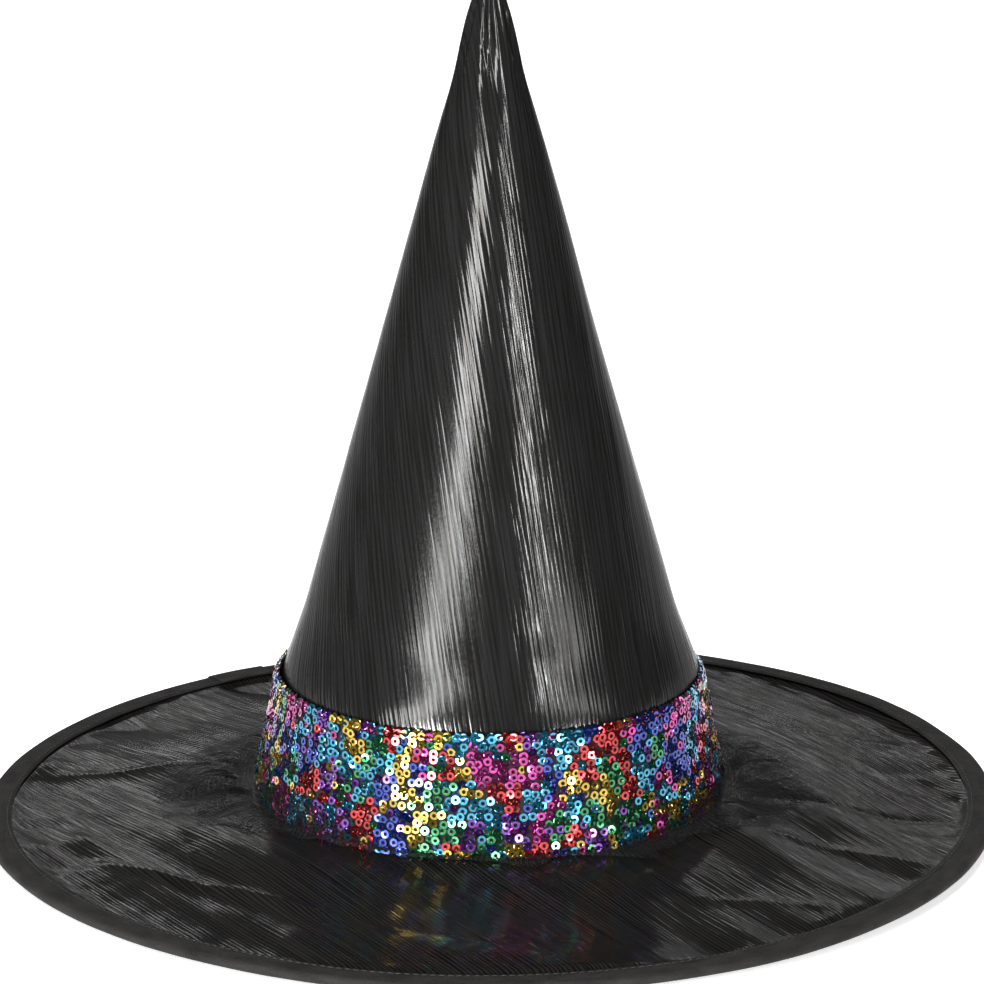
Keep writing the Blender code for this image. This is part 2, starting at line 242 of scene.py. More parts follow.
def bars(name, centres, normals, radii, look, sides=5, closed=False):
    """Round bars of thread or wire: centres (bars, rings, 3), one outward normal each, radii per ring."""
    count, rings = centres.shape[:2]
    if closed:
        along = np.roll(centres, -1, axis=1) - np.roll(centres, 1, axis=1)
    else:
        along = np.gradient(centres, axis=1)
    along /= np.linalg.norm(along, axis=-1, keepdims=True)
    across = np.cross(along, normals)
    across /= np.linalg.norm(across, axis=-1, keepdims=True)
    up = np.cross(across, along)
    turn = ring(sides)
    spoke = across[:, :, None] * np.cos(turn)[:, None] + up[:, :, None] * np.sin(turn)[:, None]
    points = centres[:, :, None] + spoke * np.asarray(radii)[:, None, None]
    index = np.arange(count * rings * sides).reshape(count, rings, sides)
    start = np.concatenate([index, index[:, :1]], axis=1) if closed else index
    after = np.roll(start, -1, axis=2)
    faces = np.stack([start[:, :-1], after[:, :-1], after[:, 1:], start[:, 1:]], axis=-1).reshape(-1, 4)
    made = link_mesh(name, points.reshape(-1, 3), faces, look)
    if not closed:
        shape = bmesh.new()
        shape.from_mesh(made.data)
        bmesh.ops.holes_fill(shape, edges=[edge for edge in shape.edges if edge.is_boundary])
        shape.to_mesh(made.data)
        shape.free()
    return made


def stitches(name, path, normals, pitch, look, closed=True, radius=0.2 * MM, share=0.78):
    """A row of thread stitches along a path (points, 3), each a low arch that dips in at its ends."""
    if closed:
        path = np.concatenate([path, path[:1]])
        normals = np.concatenate([normals, normals[:1]])
    length = np.concatenate([[0.0], np.cumsum(np.linalg.norm(np.diff(path, axis=0), axis=1))])
    count = max(int(length[-1] / pitch), 1)
    reach = np.linspace(0.0, share, 5)
    places = ((np.arange(count)[:, None] + reach) / count * length[-1]).ravel()
    centres = np.stack([np.interp(places, length, path[:, axis]) for axis in range(3)], axis=-1)
    outward = np.stack([np.interp(places, length, normals[:, axis]) for axis in range(3)], axis=-1)
    lift = np.tile((np.sin(math.pi * reach / share) - 0.6) * 0.8 * radius, count)
    centres = (centres + outward * lift[:, None]).reshape(count, 5, 3)
    taper = np.array([0.55, 0.95, 1.0, 0.95, 0.55]) * radius
    return bars(name, centres, outward.reshape(count, 5, 3), taper, look)


# ---- materials

class Nodes:
    """Short calls for building a node tree that ends in one shader."""

    def __init__(self, owner, shader="Principled BSDF"):
        owner.use_nodes = True
        self.owner = owner
        self.tree = owner.node_tree
        self.shader = self.tree.nodes[shader]

    def add(self, kind, **settings):
        node = self.tree.nodes.new(kind)
        for key, value in settings.items():
            setattr(node, key, value)
        return node

    def join(self, value, socket):
        """Another node's output is linked to the socket, and a constant is set straight on it."""
        if isinstance(value, bpy.types.NodeSocket):
            self.tree.links.new(value, socket)
        else:
            socket.default_value = value

    def fill(self, node, **values):
        for key, value in values.items():
            self.join(value, node.inputs[key.replace("_", " ")])
        return node

    def shade(self, **values):
        """Fills the shader's inputs and gives the material or world that holds the tree."""
        self.fill(self.shader, **values)
        return self.owner

    def cloth(self):
        """The piece's own cloth coordinates, in millimetres across and along its grain."""
        return self.add("ShaderNodeUVMap", uv_map="cloth").outputs["UV"]

    def place(self):
        return self.add("ShaderNodeTexCoord").outputs["Object"]

    def scaled(self, vector, scale, shift=(0.0, 0.0, 0.0)):
        node = self.add("ShaderNodeMapping")
        return self.fill(node, Vector=vector, Scale=scale, Location=shift).outputs["Vector"]

    def noise(self, vector, detail, **values):
        node = self.add("ShaderNodeTexNoise")
        return self.fill(node, Vector=vector, Scale=1.0, Detail=detail, **values).outputs["Fac"]

    def weave(self, across, along, shift=(0.0, 0.0, 0.0), detail=1.0, **values):
        """Noise with bumps of across by along millimetres of the piece's own cloth."""
        vector = self.scaled(self.cloth(), (1.0 / across, 1.0 / along, 1.0), shift)
        return self.noise(vector, detail, **values)

    def specks(self, scale, detail=1.0, **values):
        """Noise in space, with scale bumps in a metre along each axis."""
        return self.noise(self.scaled(self.place(), scale), detail, **values)

    def bands(self, vector, direction, **values):
        node = self.add("ShaderNodeTexWave", wave_type="BANDS", bands_direction=direction)
        return self.fill(node, Vector=vector, **values).outputs["Fac"]

    def cells(self, across, along, feature, randomness):
        """Distance in a pattern of cells of across by along millimetres of cloth."""
        node = self.add("ShaderNodeTexVoronoi", feature=feature)
        vector = self.scaled(self.cloth(), (1.0 / across, 1.0 / along, 1.0))
        return self.fill(node, Vector=vector, Scale=1.0, Randomness=randomness).outputs["Distance"]

    def math(self, operation, *values):
        node = self.add("ShaderNodeMath", operation=operation)
        for socket, value in zip(node.inputs, values):
            self.join(value, socket)
        return node.outputs["Value"]

    def total(self, *terms):
        """The sum of some values, each times its own weight."""
        result = 0.0
        for value, weight in terms:
            result = self.math("MULTIPLY_ADD", value, weight, result)
        return result

    def span(self, value, low, high, to_low, to_high, kind="LINEAR"):
        node = self.add("ShaderNodeMapRange", interpolation_type=kind)
        for socket, number in zip(node.inputs, (value, low, high, to_low, to_high)):
            self.join(number, socket)
        return node.outputs["Result"]

    def mix(self, factor, first, second):
        node = self.add("ShaderNodeMix", data_type="RGBA")
        for index, value in ((0, factor), (6, (*first, 1.0)), (7, (*second, 1.0))):
            self.join(value, node.inputs[index])
        return node.outputs[2]

    def bump(self, height, distance, **below):
        """A bump on the surface, or on another bump that is given as Normal."""
        node = self.add("ShaderNodeBump")
        return self.fill(node, Height=height, Distance=distance, Strength=1.0, **below).outputs["Normal"]


def material(name):
    return Nodes(bpy.data.materials.new(name))


def grey(tone):
    return (tone, tone, tone)


def satin(name, pitch, even, dark, light, ridge, broad, rough_low, rough_high, metallic, specular, tint):
    """Crinkled satin: long broken ridges along the grain, with the cloth's coordinates in millimetres. The
    base colour follows the ridges, so the grooves are painted darker than the ridge tops as painted shade.
    """
    n = material(name)
    along = n.scaled(n.cloth(), (1.0 / pitch, 1.0 / 42.0, 1.0), shift=(3.0, 1.0, 0.0))
    ribs = n.bands(along, "X", Scale=0.20, Distortion=5.0, Detail=1.0, Detail_Scale=0.8)
    cords = n.total((n.noise(along, 1.0), 1.0 - even), (n.span(ribs, 0.0, 1.0, 0.28, 0.72), even))
    hairs = n.weave(pitch / 1.85, 14.0, (7.0, 3.0, 0.0))
    grit = n.weave(0.8, 1.6, (27.0, 9.0, 0.0))
    pleats = n.weave(6.0, 90.0, (17.0, 5.0, 0.0))
    # steps marks the ridge tops; the base colour below follows it, giving the grooves painted shade
    steps = n.span(cords, 0.35, 0.65, 0.0, 1.0, "SMOOTHSTEP")
    height = n.total((cords, 2.2), (steps, 0.3), (hairs, 0.45), (grit, 0.10))
    return n.shade(Normal=n.bump(height, ridge, Normal=n.bump(pleats, broad)),
                   Base_Color=n.mix(steps, dark, light),
                   Roughness=n.span(grit, 0.3, 0.7, rough_low, rough_high), Metallic=metallic,
                   Specular_IOR_Level=specular, Specular_Tint=(*grey(tint), 1.0))


def crown_satin():
    # groove colour, then ridge-top colour: the darker groove tone is painted shade
    return satin("crinkle_satin_crown", 1.25, 0.35, (0.0252, 0.0241, 0.0228), (0.0480, 0.0492, 0.0492),
                 0.070 * MM, 0.26 * MM, 0.09, 0.15, 0.78, 0.3, 0.1)


def brim_satin():
    # groove colour, then ridge-top colour: the darker groove tone is painted shade
    return satin("crinkle_satin_brim", 1.0, 0.5, (0.0026, 0.0024, 0.0022), (0.0120, 0.0114, 0.0108),
                 0.072 * MM, 0.30 * MM, 0.09, 0.14, 0.0, 0.07, 1.0)


def binding_look():
    """Matt folded tape: fine plain weave with a little fuzz."""
    n = material("binding_tape_cloth")
    slub = n.weave(5.0, 14.0, (1.0, 8.0, 0.0), 2.0)
    weave = n.math("ADD", n.weave(0.5, 1.1), n.weave(1.1, 0.5, (5.0, 2.0, 0.0)))
    tone = n.span(n.total((weave, 0.6), (slub, 1.0)), 0.75, 1.4, 0.0, 1.0)
    return n.shade(Normal=n.bump(weave, 0.22 * MM, Normal=n.bump(slub, 0.9 * MM)),
                   Base_Color=n.mix(tone, (0.0028, 0.0026, 0.0025), (0.0210, 0.0195, 0.0184)),
                   Roughness=n.span(weave, 0.7, 1.3, 0.66, 0.88), Specular_IOR_Level=0.2)


def grainy(n, grain, relief, dark, light, rough_low, rough_high, **values):
    """A material whose relief, tone and roughness all follow one fine noise."""
    return n.shade(Normal=n.bump(grain, relief), Base_Color=n.mix(grain, dark, light),
                   Roughness=n.span(grain, 0.3, 0.7, rough_low, rough_high), **values)


def thread_look():
    n = material("spun_thread")
    grain = n.specks((2600.0, 2600.0, 1500.0))
    return grainy(n, grain, 0.08 * MM, grey(0.006), (0.022, 0.021, 0.020), 0.4, 0.65)


def steel_look():
    n = material("drawn_wire")
    grain = n.specks(grey(1200.0), 2.0)
    return grainy(n, grain, 0.03 * MM, (0.42, 0.42, 0.43), (0.60, 0.60, 0.61), 0.25, 0.45, Metallic=1.0)


def label_look():
    """Blank woven satin tab."""
    n = material("label_weave")
    return grainy(n, n.weave(4.0, 0.25), 0.05 * MM, (0.62, 0.62, 0.60), (0.76, 0.76, 0.74), 0.4, 0.6)


def felt_look():
    """Matt non-woven stiffener: matted fibres in soft blotches."""
    n = material("nonwoven_felt")
    fibres = n.specks(grey(900.0), 4.0, Roughness=0.7, Distortion=1.2)
    tone = n.mix(n.specks(grey(90.0), 2.0), (0.022, 0.022, 0.023), (0.055, 0.055, 0.056))
    return n.shade(Normal=n.bump(fibres, 0.25 * MM), Base_Color=tone,
                   Roughness=n.span(fibres, 0.3, 0.7, 0.85, 0.98), Sheen_Weight=0.1)


def ribbon_look():
    """Grosgrain: ribs across the ribbon."""
    n = material("grosgrain")
    ribs = n.bands(n.place(), "Z", Scale=260.0, Distortion=0.3)
    grain = n.specks(grey(1500.0))
    return n.shade(Normal=n.bump(grain, 0.05 * MM, Normal=n.bump(ribs, 0.15 * MM)),
                   Base_Color=n.mix(ribs, (0.008, 0.008, 0.009), (0.020, 0.020, 0.021)),
                   Roughness=n.span(grain, 0.3, 0.7, 0.5, 0.7))


def sequin_look():
    """Metallised film: the foil's colour belongs to each sequin, under a clear glossy face."""
    n = material("sequin_foil")
    colour = n.add("ShaderNodeAttribute", attribute_name="foil", attribute_type="GEOMETRY")
    cast = n.specks(grey(420.0))
    return n.shade(Normal=n.bump(cast, 0.018 * MM), Base_Color=colour.outputs["Color"],
                   Roughness=n.span(cast, 0.3, 0.7, 0.05, 0.13), Metallic=0.9,
                   Coat_Weight=0.25, Coat_IOR=2.2, Coat_Roughness=0.06)


def knit_look():
    """The dark stretch ground under the sequins: rows of tiny loops."""
    n = material("stretch_knit")
    loops = n.cells(0.55, 0.75, "F1", 0.35)
    fuzz = n.weave(1.0 / 3.0, 1.0 / 3.0, detail=2.0)
    return n.shade(Normal=n.bump(loops, 0.2 * MM), Base_Color=n.mix(fuzz, grey(0.004), (0.012, 0.011, 0.011)),
                   Roughness=n.span(loops, 0.0, 0.6, 0.6, 0.9))


def net_look():
    """Fine hexagonal net, see-through between its threads, with some threads painted lighter as a painted
    highlight.
    """
    n = material("hexagon_tulle")
    cell, cord, black = 1.7, 0.035, 0.0020
    to_thread = n.cells(cell, cell, "DISTANCE_TO_EDGE", 0.12)
    twist = n.weave(1.0 / 0.7, 1.0 / 0.7, detail=3.0, Roughness=0.7)
    # threads where the twist noise is high get a lighter base colour: a painted highlight
    thread_painted_highlight = n.span(twist, 0.48, 0.66, 0.0, 1.0)
    return n.shade(Alpha=n.span(to_thread, cord, 1.7 * cord, 0.95, 0.0), Normal=n.bump(twist, 0.05 * MM),
                   Base_Color=n.mix(thread_painted_highlight, grey(black), grey(17.0 * black)),
                   Roughness=n.span(twist, 0.3, 0.7, 0.55, 0.8), Specular_IOR_Level=0.2)


# ---- camera, floor and light

CAMERA_DISTANCE = 1.8
CAMERA_ELEVATION = math.radians(19.67)      # of the camera above the rim, seen from the hat
CAMERA_DOWN = math.radians(15.71)           # of the view's middle below the horizon
CAMERA_LENS = 162.1
CAMERA_ASIDE = 1.0 * MM
RIM_PLANE_Z = 4.5 * MM
FLOOR_REACH = 7.0
LAMP_DISTANCE = 1.5
LAMP_AIM_Z = 0.15
LAMPS = (                                   # name, azimuth, height, width, length, watts, slant in degrees
    ("key_left_high", -19.0, 0.71, 0.42, 0.38, 9.5, 0.0),
    ("key_left_slant", -39.0, 0.36, 0.66, 0.14, 4.2, 15.0),
    ("key_left_foot", -34.0, 0.12, 0.60, 0.22, 26.0, 0.0),
    ("key_right_high", 34.2, 0.64, 0.10, 0.46, 5.1, -8.0),
    ("key_right_slant", 49.0, 0.35, 0.60, 0.12, 1.15, -12.0),
    ("key_right_foot", 42.0, 0.10, 0.22, 0.16, 6.0, 0.0),
)


def camera():
    data = bpy.data.cameras.new("camera")
    made = link_object("camera", data, lens=CAMERA_LENS, sensor_width=36.0, clip_end=30.0)
    rise = CAMERA_DISTANCE * math.sin(CAMERA_ELEVATION) + RIM_PLANE_Z
    made.location = (CAMERA_ASIDE, -CAMERA_DISTANCE * math.cos(CAMERA_ELEVATION), rise)
    made.rotation_euler = (0.5 * math.pi - CAMERA_DOWN, 0.0, 0.0)
    bpy.context.scene.camera = made


def floor():
    """A white table that is lit and glows a little, 0.2 mm under the hat."""
    n = material("pale_floor")
    mottle = n.specks(grey(30.0), 3.0)
    look = n.shade(Base_Color=n.mix(mottle, grey(0.95), grey(0.98)),
                   Emission_Color=n.mix(mottle, grey(0.98), grey(1.0)),
                   Roughness=0.9, Specular_IOR_Level=0.1, Emission_Strength=0.6)
    corners = FLOOR_REACH * np.array([(-1.0, -1.0, 0.0), (1.0, -1.0, 0.0), (1.0, 1.0, 0.0), (-1.0, 1.0, 0.0)])
    link_mesh("floor", corners - (0.0, 0.0, 0.2 * MM), [[0, 1, 2, 3]], look, smooth=False)


def softbox(name, azimuth, height, width, tall, power, slant):
    """A rectangular light. Azimuth 0 is in front of the hat (-Y), positive to the right (+X)."""
    data = bpy.data.lights.new(name, "AREA")
    made = link_object(name, data, shape="RECTANGLE", size=width, size_y=tall, energy=power)
    turn = math.radians(azimuth)
    made.location = (LAMP_DISTANCE * math.sin(turn), -LAMP_DISTANCE * math.cos(turn), height)
    down = math.atan2(height - LAMP_AIM_Z, LAMP_DISTANCE)
    aimed = Matrix.Rotation(turn, 3, "Z") @ Matrix.Rotation(0.5 * math.pi - down, 3, "X")
    made.rotation_euler = (aimed @ Matrix.Rotation(math.radians(slant), 3, "Z")).to_euler()


def studio_world():
    """A dim white room with a bright band low behind the hat, which the brim mirrors to the front."""
    n = Nodes(bpy.data.worlds.new("studio"), "Background")
    direction = n.add("ShaderNodeTexCoord").outputs["Generated"]
    parts = n.fill(n.add("ShaderNodeSeparateXYZ"), Vector=direction).outputs
    low, full, still, gone = [math.sin(math.radians(degrees)) for degrees in (17.0, 18.6, 19.6, 21.4)]
    rise = n.span(parts["Z"], low, full, 0.04, 1.0, "SMOOTHSTEP")
    fall = n.span(parts["Z"], still, gone, 1.0, 0.03, "SMOOTHSTEP")
    behind = n.span(parts["Y"], 0.15, 0.75, 0.0, 4.0, "SMOOTHSTEP")
    band = n.math("MULTIPLY", n.math("MULTIPLY", rise, fall), behind)
    return n.shade(Color=(*grey(1.0), 1.0), Strength=n.math("ADD", band, 0.04))


def lights():
    for lamp in LAMPS:
        softbox(*lamp)
    overhead = bpy.data.lights.new("overhead", "SUN")
    made = link_object("overhead", overhead, energy=2.8, angle=math.radians(24.0))
    made.rotation_euler = (math.radians(8.0), 0.0, 0.0)
    bpy.context.scene.world = studio_world()
    bpy.context.scene.view_settings.view_transform = "Standard"


# ---- crown

CROWN_COLUMNS = 520
CROWN_GRAIN = math.radians(9.0)             # the grain leans this far off the front line, on the flat cut
SATIN_THICKNESS = 0.45 * MM


def crown_surface(angle, z):
    """Radius of the cone's cloth with its soft dents, pleats, back seam and gathered tip."""
    side = turned(angle - FRONT)
    radius = cone_radius(z)
    dents = 0.8 * ring_noise(angle, z, 5.0, 0.11, 3) + 0.35 * ring_noise(angle, z, 13.0, 0.05, 4)
    pleats = 0.08 * cloth_noise(crown_cloth(side, z), 4.6, -90.0, 80.0, 5)
    near_tip = smooth_step(0.278, 0.330, z)
    folds = 0.8 * np.sin(6.0 * angle + 1.2 + 14.0 * (z - 0.3)) + 0.45 * np.sin(11.0 * angle + 30.0 * z)
    from_back = np.abs(turned(angle - BACK)) * radius
    seam = -0.7 * bell(from_back, 0.9 * MM) + 0.35 * bell(from_back - 2.6 * MM, 1.4 * MM)
    pulled = np.sin(z * TAU / 0.011 + 2.0 * np.sin(z * 90.0))
    seam_pucker = 0.25 * bell(from_back - 4.0 * MM, 5.0 * MM) * pulled
    straight = np.clip((0.0925 - z) / 0.0325, 0.0, 1.0) * smooth_step(0.030, 0.055, z)
    belt = 0.9 * bell(turned(angle), 0.5) * bell(z - 0.060, 0.017) - 1.7 * bell(side, 0.95) * straight
    fade = smooth_step(0.0, 12.0 * MM, TIP_Z - z)
    slack = (dents + seam + seam_pucker) * fade + pleats + belt
    gather = near_tip * folds * fade * np.clip(radius / 0.008, 0.0, 1.0)
    return np.maximum(radius + (slack + gather) * MM, 0.3 * MM)


def crown_cloth(side, z):
    """Cloth coordinates in millimetres on the flat cut of the cone, across and along the grain."""
    stretch = math.hypot(1.0, CONE_SLOPE)
    slant = (APEX_Z - z) * stretch / MM
    from_grain = side * CONE_SLOPE / stretch - CROWN_GRAIN
    return np.stack([slant * np.sin(from_grain), -slant * np.cos(from_grain)], axis=-1)


def crown(look):
    rows_z = np.concatenate([np.linspace(CROWN_FOOT_Z, 0.28, 54), np.linspace(0.284, TIP_Z - 0.4 * MM, 32)])
    side, z = np.meshgrid(ring(CROWN_COLUMNS, 1) - math.pi, rows_z)
    surface = polar(crown_surface(side + FRONT, z), side + FRONT, z)
    return sheet_mesh("crown_satin_cone", surface, crown_cloth(side, z), SATIN_THICKNESS, look)


def crown_lining(look):
    """The stiffener just inside the satin, following its dents."""
    rows_z = np.linspace(CROWN_FOOT_Z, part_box("crown_interlining")[1].z, 48)
    angle, z = np.meshgrid(ring(240, 1), rows_z)
    inset = SATIN_THICKNESS + 0.5 * MM + 0.1 * MM * ring_noise(angle, z, 40.0, 0.02, 6)
    surface = polar(crown_surface(angle, z) - inset, angle, z)
    cloth = np.stack([angle * CONE_R[0], z], axis=-1) / MM
    return sheet_mesh("crown_stiffener", surface, cloth, 0.8 * MM, look)


def inside_patch(name, node, look, thickness, ripple, rows, columns):
    """A strip of cloth in the place of a turned CAD piece inside the hat, over the piece's own arc."""
    heights, outer = turned_profile(node)
    first, last, closed = arc_of(node)
    rows_z = np.linspace(heights[0], heights[-1], rows)
    angles = ring(columns, 1) if closed else np.linspace(first, last, columns)
    angle, z = np.meshgrid(angles, rows_z)
    radius = np.interp(z, heights, outer) - 0.15 * MM
    radius = radius - ripple * (0.5 + 0.5 * ring_noise(angle, z, 60.0, 0.012, 7))
    cloth = np.stack([angle * outer[0], z], axis=-1) / MM
    return sheet_mesh(name, polar(radius, angle, z), cloth, thickness, look, closed)


# ---- brim

BRIM_COLUMNS = 560
BRIM_ROWS = 62
BRIM_GRAIN = math.radians(-56.0)            # the grain runs from the back left to the front right
RIM_TILT = 2.42 * MM                        # the right side of the rim stands higher than the left
RIM_TWIST = (0.59 * MM, 1.23 * MM)          # and it is bent a little into a saddle
RIM_CLEAR = 2.6 * MM                        # mean lift of the rim
SMOOTH_AT_CROWN = (0.092, 0.112)            # radii between which the wrinkles die out towards the crown


def rim_lift(angle, radius):
    """How far the brim is lifted off the CAD's level: nothing at the crown, the rim's own shape outside."""
    waves = 0.20 * np.sin(5.0 * angle + 0.8) + 0.15 * np.sin(9.0 * angle + 2.1)
    saddle = RIM_TWIST[0] * np.cos(2.0 * angle) + RIM_TWIST[1] * np.sin(2.0 * angle)
    height = RIM_CLEAR + RIM_TILT * np.cos(angle) + saddle + waves * MM
    return np.maximum(height, 0.05 * MM) * smooth_step(CROWN_JOIN, RIM, radius)


def crease(x, y, start, end, width):
    """1 along a pressed line between two points of the brim, in metres, falling to 0 beside it."""
    heading = np.subtract(end, start)
    length = np.hypot(*heading)
    heading = heading / length
    along = (x - start[0]) * heading[0] + (y - start[1]) * heading[1]
    beside = (x - start[0]) * -heading[1] + (y - start[1]) * heading[0]
    ends = smooth_step(-0.012, 0.012, along) * smooth_step(-0.012, 0.012, length - along)
    return np.exp(-np.abs(beside) / width) * ends


CREASES = (                                 # start, end, how fast it fades aside, height in millimetres
    ((-0.150, -0.075), (-0.060, -0.140), 3.5 * MM, 1.3),
    ((-0.120, -0.055), (-0.105, -0.120), 3.0 * MM, -1.1),
    ((-0.165, -0.040), (-0.120, -0.100), 3.0 * MM, 0.7),
    ((-0.060, -0.140), (0.020, -0.175), 3.5 * MM, -0.5),
    ((0.110, -0.060), (0.175, -0.085), 4.0 * MM, 1.2),
    ((0.105, -0.020), (0.180, -0.030), 4.0 * MM, -1.1),
    ((0.070, -0.120), (0.130, -0.130), 3.5 * MM, 0.6),
    ((-0.175, 0.030), (-0.110, 0.020), 4.0 * MM, 0.7),
    ((0.120, 0.070), (0.185, 0.050), 4.0 * MM, 0.6),
    ((-0.165, -0.060), (-0.070, -0.150), 16.0 * MM, -0.8),
)


def brim_wrinkles(angle, radius):
    """Puckers along the binding that fade inwards, soft swells, and a few pressed creases."""
    from_rim = RIM - 10.0 * MM - radius
    fade = np.exp(-np.clip(from_rim, 0.0, None) / 0.024)
    held = smooth_step(0.0, 5.0 * MM, from_rim)
    pucker = 0.9 * ring_noise(angle, radius, 64.0, 0.10, 11)
    pucker = pucker + 0.5 * ring_noise(angle, radius, 130.0, 0.06, 12)
    swell = 3.6 * ring_noise(angle, radius, 9.0, 0.06, 13) + 0.5 * ring_noise(angle, radius, 27.0, 0.035, 14)
    grain = brim_cloth(angle, radius)
    swell = swell + 2.4 * cloth_noise(grain, 24.0, 95.0, 40.0, 15)
    swell = swell + 0.34 * cloth_noise(grain, 8.0, 45.0, 60.0, 16)
    at_crown = smooth_step(*SMOOTH_AT_CROWN, radius)
    x, y = radius * np.cos(angle), radius * np.sin(angle)
    pressed = sum(height * crease(x, y, start, end, width) for start, end, width, height in CREASES)
    return (pucker * fade * held * 0.8 + (swell * 0.8 + pressed) * held * at_crown) * MM


def brim_cloth(angle, radius):
    x, y = radius * np.cos(angle), radius * np.sin(angle)
    across = x * -math.sin(BRIM_GRAIN) + y * math.cos(BRIM_GRAIN)
    along = x * math.cos(BRIM_GRAIN) + y * math.sin(BRIM_GRAIN)
    return np.stack([across, along], axis=-1) / MM


def brim_layer(name, node, thickness, least, look, raised=0.0):
    """One of the brim's three cloths in place of its CAD ring; least is the lowest that it may lie."""
    radii, heights = turned_profile(node, by_height=False)
    flat = heights < CROWN_FOOT_Z
    rows_r = np.linspace(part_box(node)[1].x, CROWN_JOIN - 1.6 * MM, BRIM_ROWS)
    angle, radius = np.meshgrid(ring(BRIM_COLUMNS, 1), rows_r)
    level = softened(radius, radii[flat], heights[flat], 6.0 * MM)
    z = level + raised + rim_lift(angle, radius) + brim_wrinkles(angle, radius)
    surface = polar(radius, angle, np.maximum(z, least))
    return sheet_mesh(name, surface, brim_cloth(angle, radius), thickness, look)


def brim_collar(look):
    """The under cloth's inner edge, turned up inside the crown's foot to the head seam."""
    collar_z, collar_r = turned_profile("brim_under_cover")
    foot = CROWN_FOOT_Z - 2.3 * MM
    heights = np.linspace(foot, collar_z[-1], 14)
    radii = np.interp(heights, [foot, foot + 1.5 * MM, collar_z[-1]],
                      [CROWN_JOIN - 1.5 * MM, CROWN_JOIN - 2.3 * MM, collar_r[-1]])
    angle, z = np.meshgrid(ring(400, 1), heights)
    radius = radii[:, None] + 0.05 * MM * ring_noise(angle, z, 60.0, 0.01, 17)
    cloth = np.stack([z, angle * radii.mean()], axis=-1) / MM
    return sheet_mesh("brim_collar", polar(radius, angle, z), cloth, 0.25 * MM, look)


# ---- rim binding

BINDING_COLUMNS = 600
TAPE_WIDTH = RIM - np.unique(np.round(np.hypot(*cad_points("rim_binding")[:, :2].T), 4)).min()
RIM_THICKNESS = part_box("rim_binding")[1].z


def binding_section(turns):
    """Half-round folded section: (distance in from the rim, height) for turns 0 (under) to 1 (top)."""
    half = RIM_THICKNESS / 2.0
    flat = TAPE_WIDTH - half
    bend = math.pi * half / 2.0 * 1.1
    run = turns * (2.0 * flat + 2.0 * bend) - flat - bend
    inward = np.clip(np.abs(run) - bend, 0.0, None)
    lean = np.clip(run / bend, -1.0, 1.0) * math.pi / 2.0
    distance = inward + half * (1.0 - np.cos(lean))
    height = half + half * np.sin(lean)
    return distance, height


def binding_points(angle, turn):
    """Outside of the folded tape: its edges wander, and it puffs between the stitches."""
    distance, height = binding_section(turn)
    wobble = 0.35 * MM * ring_noise(angle, 0.0 * angle, 34.0, 1.0, 21)
    edge = 0.5 * MM * ring_noise(angle, turn, 60.0, 2.0, 22) * smooth_step(0.6, 1.0, np.abs(2.0 * turn - 1.0))
    puff = (0.25 * ring_noise(angle, turn, 90.0, 0.4, 23) + 0.15) * MM * np.sin(math.pi * turn)
    radius = RIM - distance - 0.4 * MM + wobble + edge + puff * 0.5
    z = height + rim_lift(angle, RIM) + puff * smooth_step(0.45, 0.8, turn)
    return polar(radius, angle, z)


def tape_cloth(angle, turn):
    return np.stack([turn * 2.0 * TAPE_WIDTH, angle * RIM], axis=-1) / MM


def binding(look):
    angle, turn = np.meshgrid(ring(BINDING_COLUMNS, 1), np.linspace(0.0, 1.0, 19))
    return sheet_mesh("rim_tape", binding_points(angle, turn), tape_cloth(angle, turn), 0.45 * MM, look)


def binding_end(look):
    """The tape's free end, folded over its start at the back left, cut a little aslant."""
    turns = np.linspace(0.02, 1.0, 25)
    angles = np.radians(np.linspace(120.0, 127.5, 22))
    angle, turn = np.meshgrid(angles, turns)
    cloth = tape_cloth(angle, turn) + (3.0, 0.0)
    angle = angle + 0.006 * (turn - 0.5) * smooth_step(angles[-1], angles[0], angle)
    outward = binding_points(angle, turn)
    centre = polar(RIM - 0.5 * TAPE_WIDTH, angle, RIM_THICKNESS / 2.0 + rim_lift(angle, RIM))
    away = outward - centre
    away[..., 2] *= 3.0
    away /= np.linalg.norm(away, axis=-1, keepdims=True)
    curl = 0.7 * smooth_step(angles[4], angles[0], angle) * smooth_step(0.6, 1.0, turn)
    surface = outward + away * (0.6 + curl)[..., None] * MM
    surface[..., 2] = np.maximum(surface[..., 2], 0.05 * MM)
    return sheet_mesh("rim_tape_end", surface, cloth, 0.4 * MM, look, False)


def rim_path(distance, height, count=720):
    """A ring of points in the rim's own shape, at a distance in from its edge."""
    angle = ring(count)
    return polar(RIM - distance, angle, height + rim_lift(angle, RIM))


def rim_wire(steel):
    """The spring wire in the rim and the crimped ferrule that joins its ends."""
    box_low, box_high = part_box("brim_wire")
    size = 0.5 * (box_high.z - box_low.z)
    inset = RIM - box_high.x + size
    path = rim_path(inset, 0.5 * (box_low.z + box_high.z), 360)
    up = np.tile([0.0, 0.0, 1.0], (len(path), 1))
    wire = bars("rim_spring_wire", path[None], up[None], np.full(len(path), size), steel, 8, True)
    low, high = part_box("brim_wire_ferrule")
    middle = math.atan2(low.y + high.y, low.x + high.x)
    angle = middle + np.linspace(-6.0, 6.0, 13) * MM / RIM
    centres = polar(RIM - inset, angle, 0.5 * (low.z + high.z) + rim_lift(angle, RIM))
    crimp = 1.06 * MM - 0.16 * MM * (np.arange(13) % 4 == 2)
    crimp[[0, -1]] = size + 0.1 * MM
    ferrule = bars("rim_wire_ferrule", centres[None], up[None, :13], crimp, steel, 12)
    return wire, ferrule


# ---- sequins

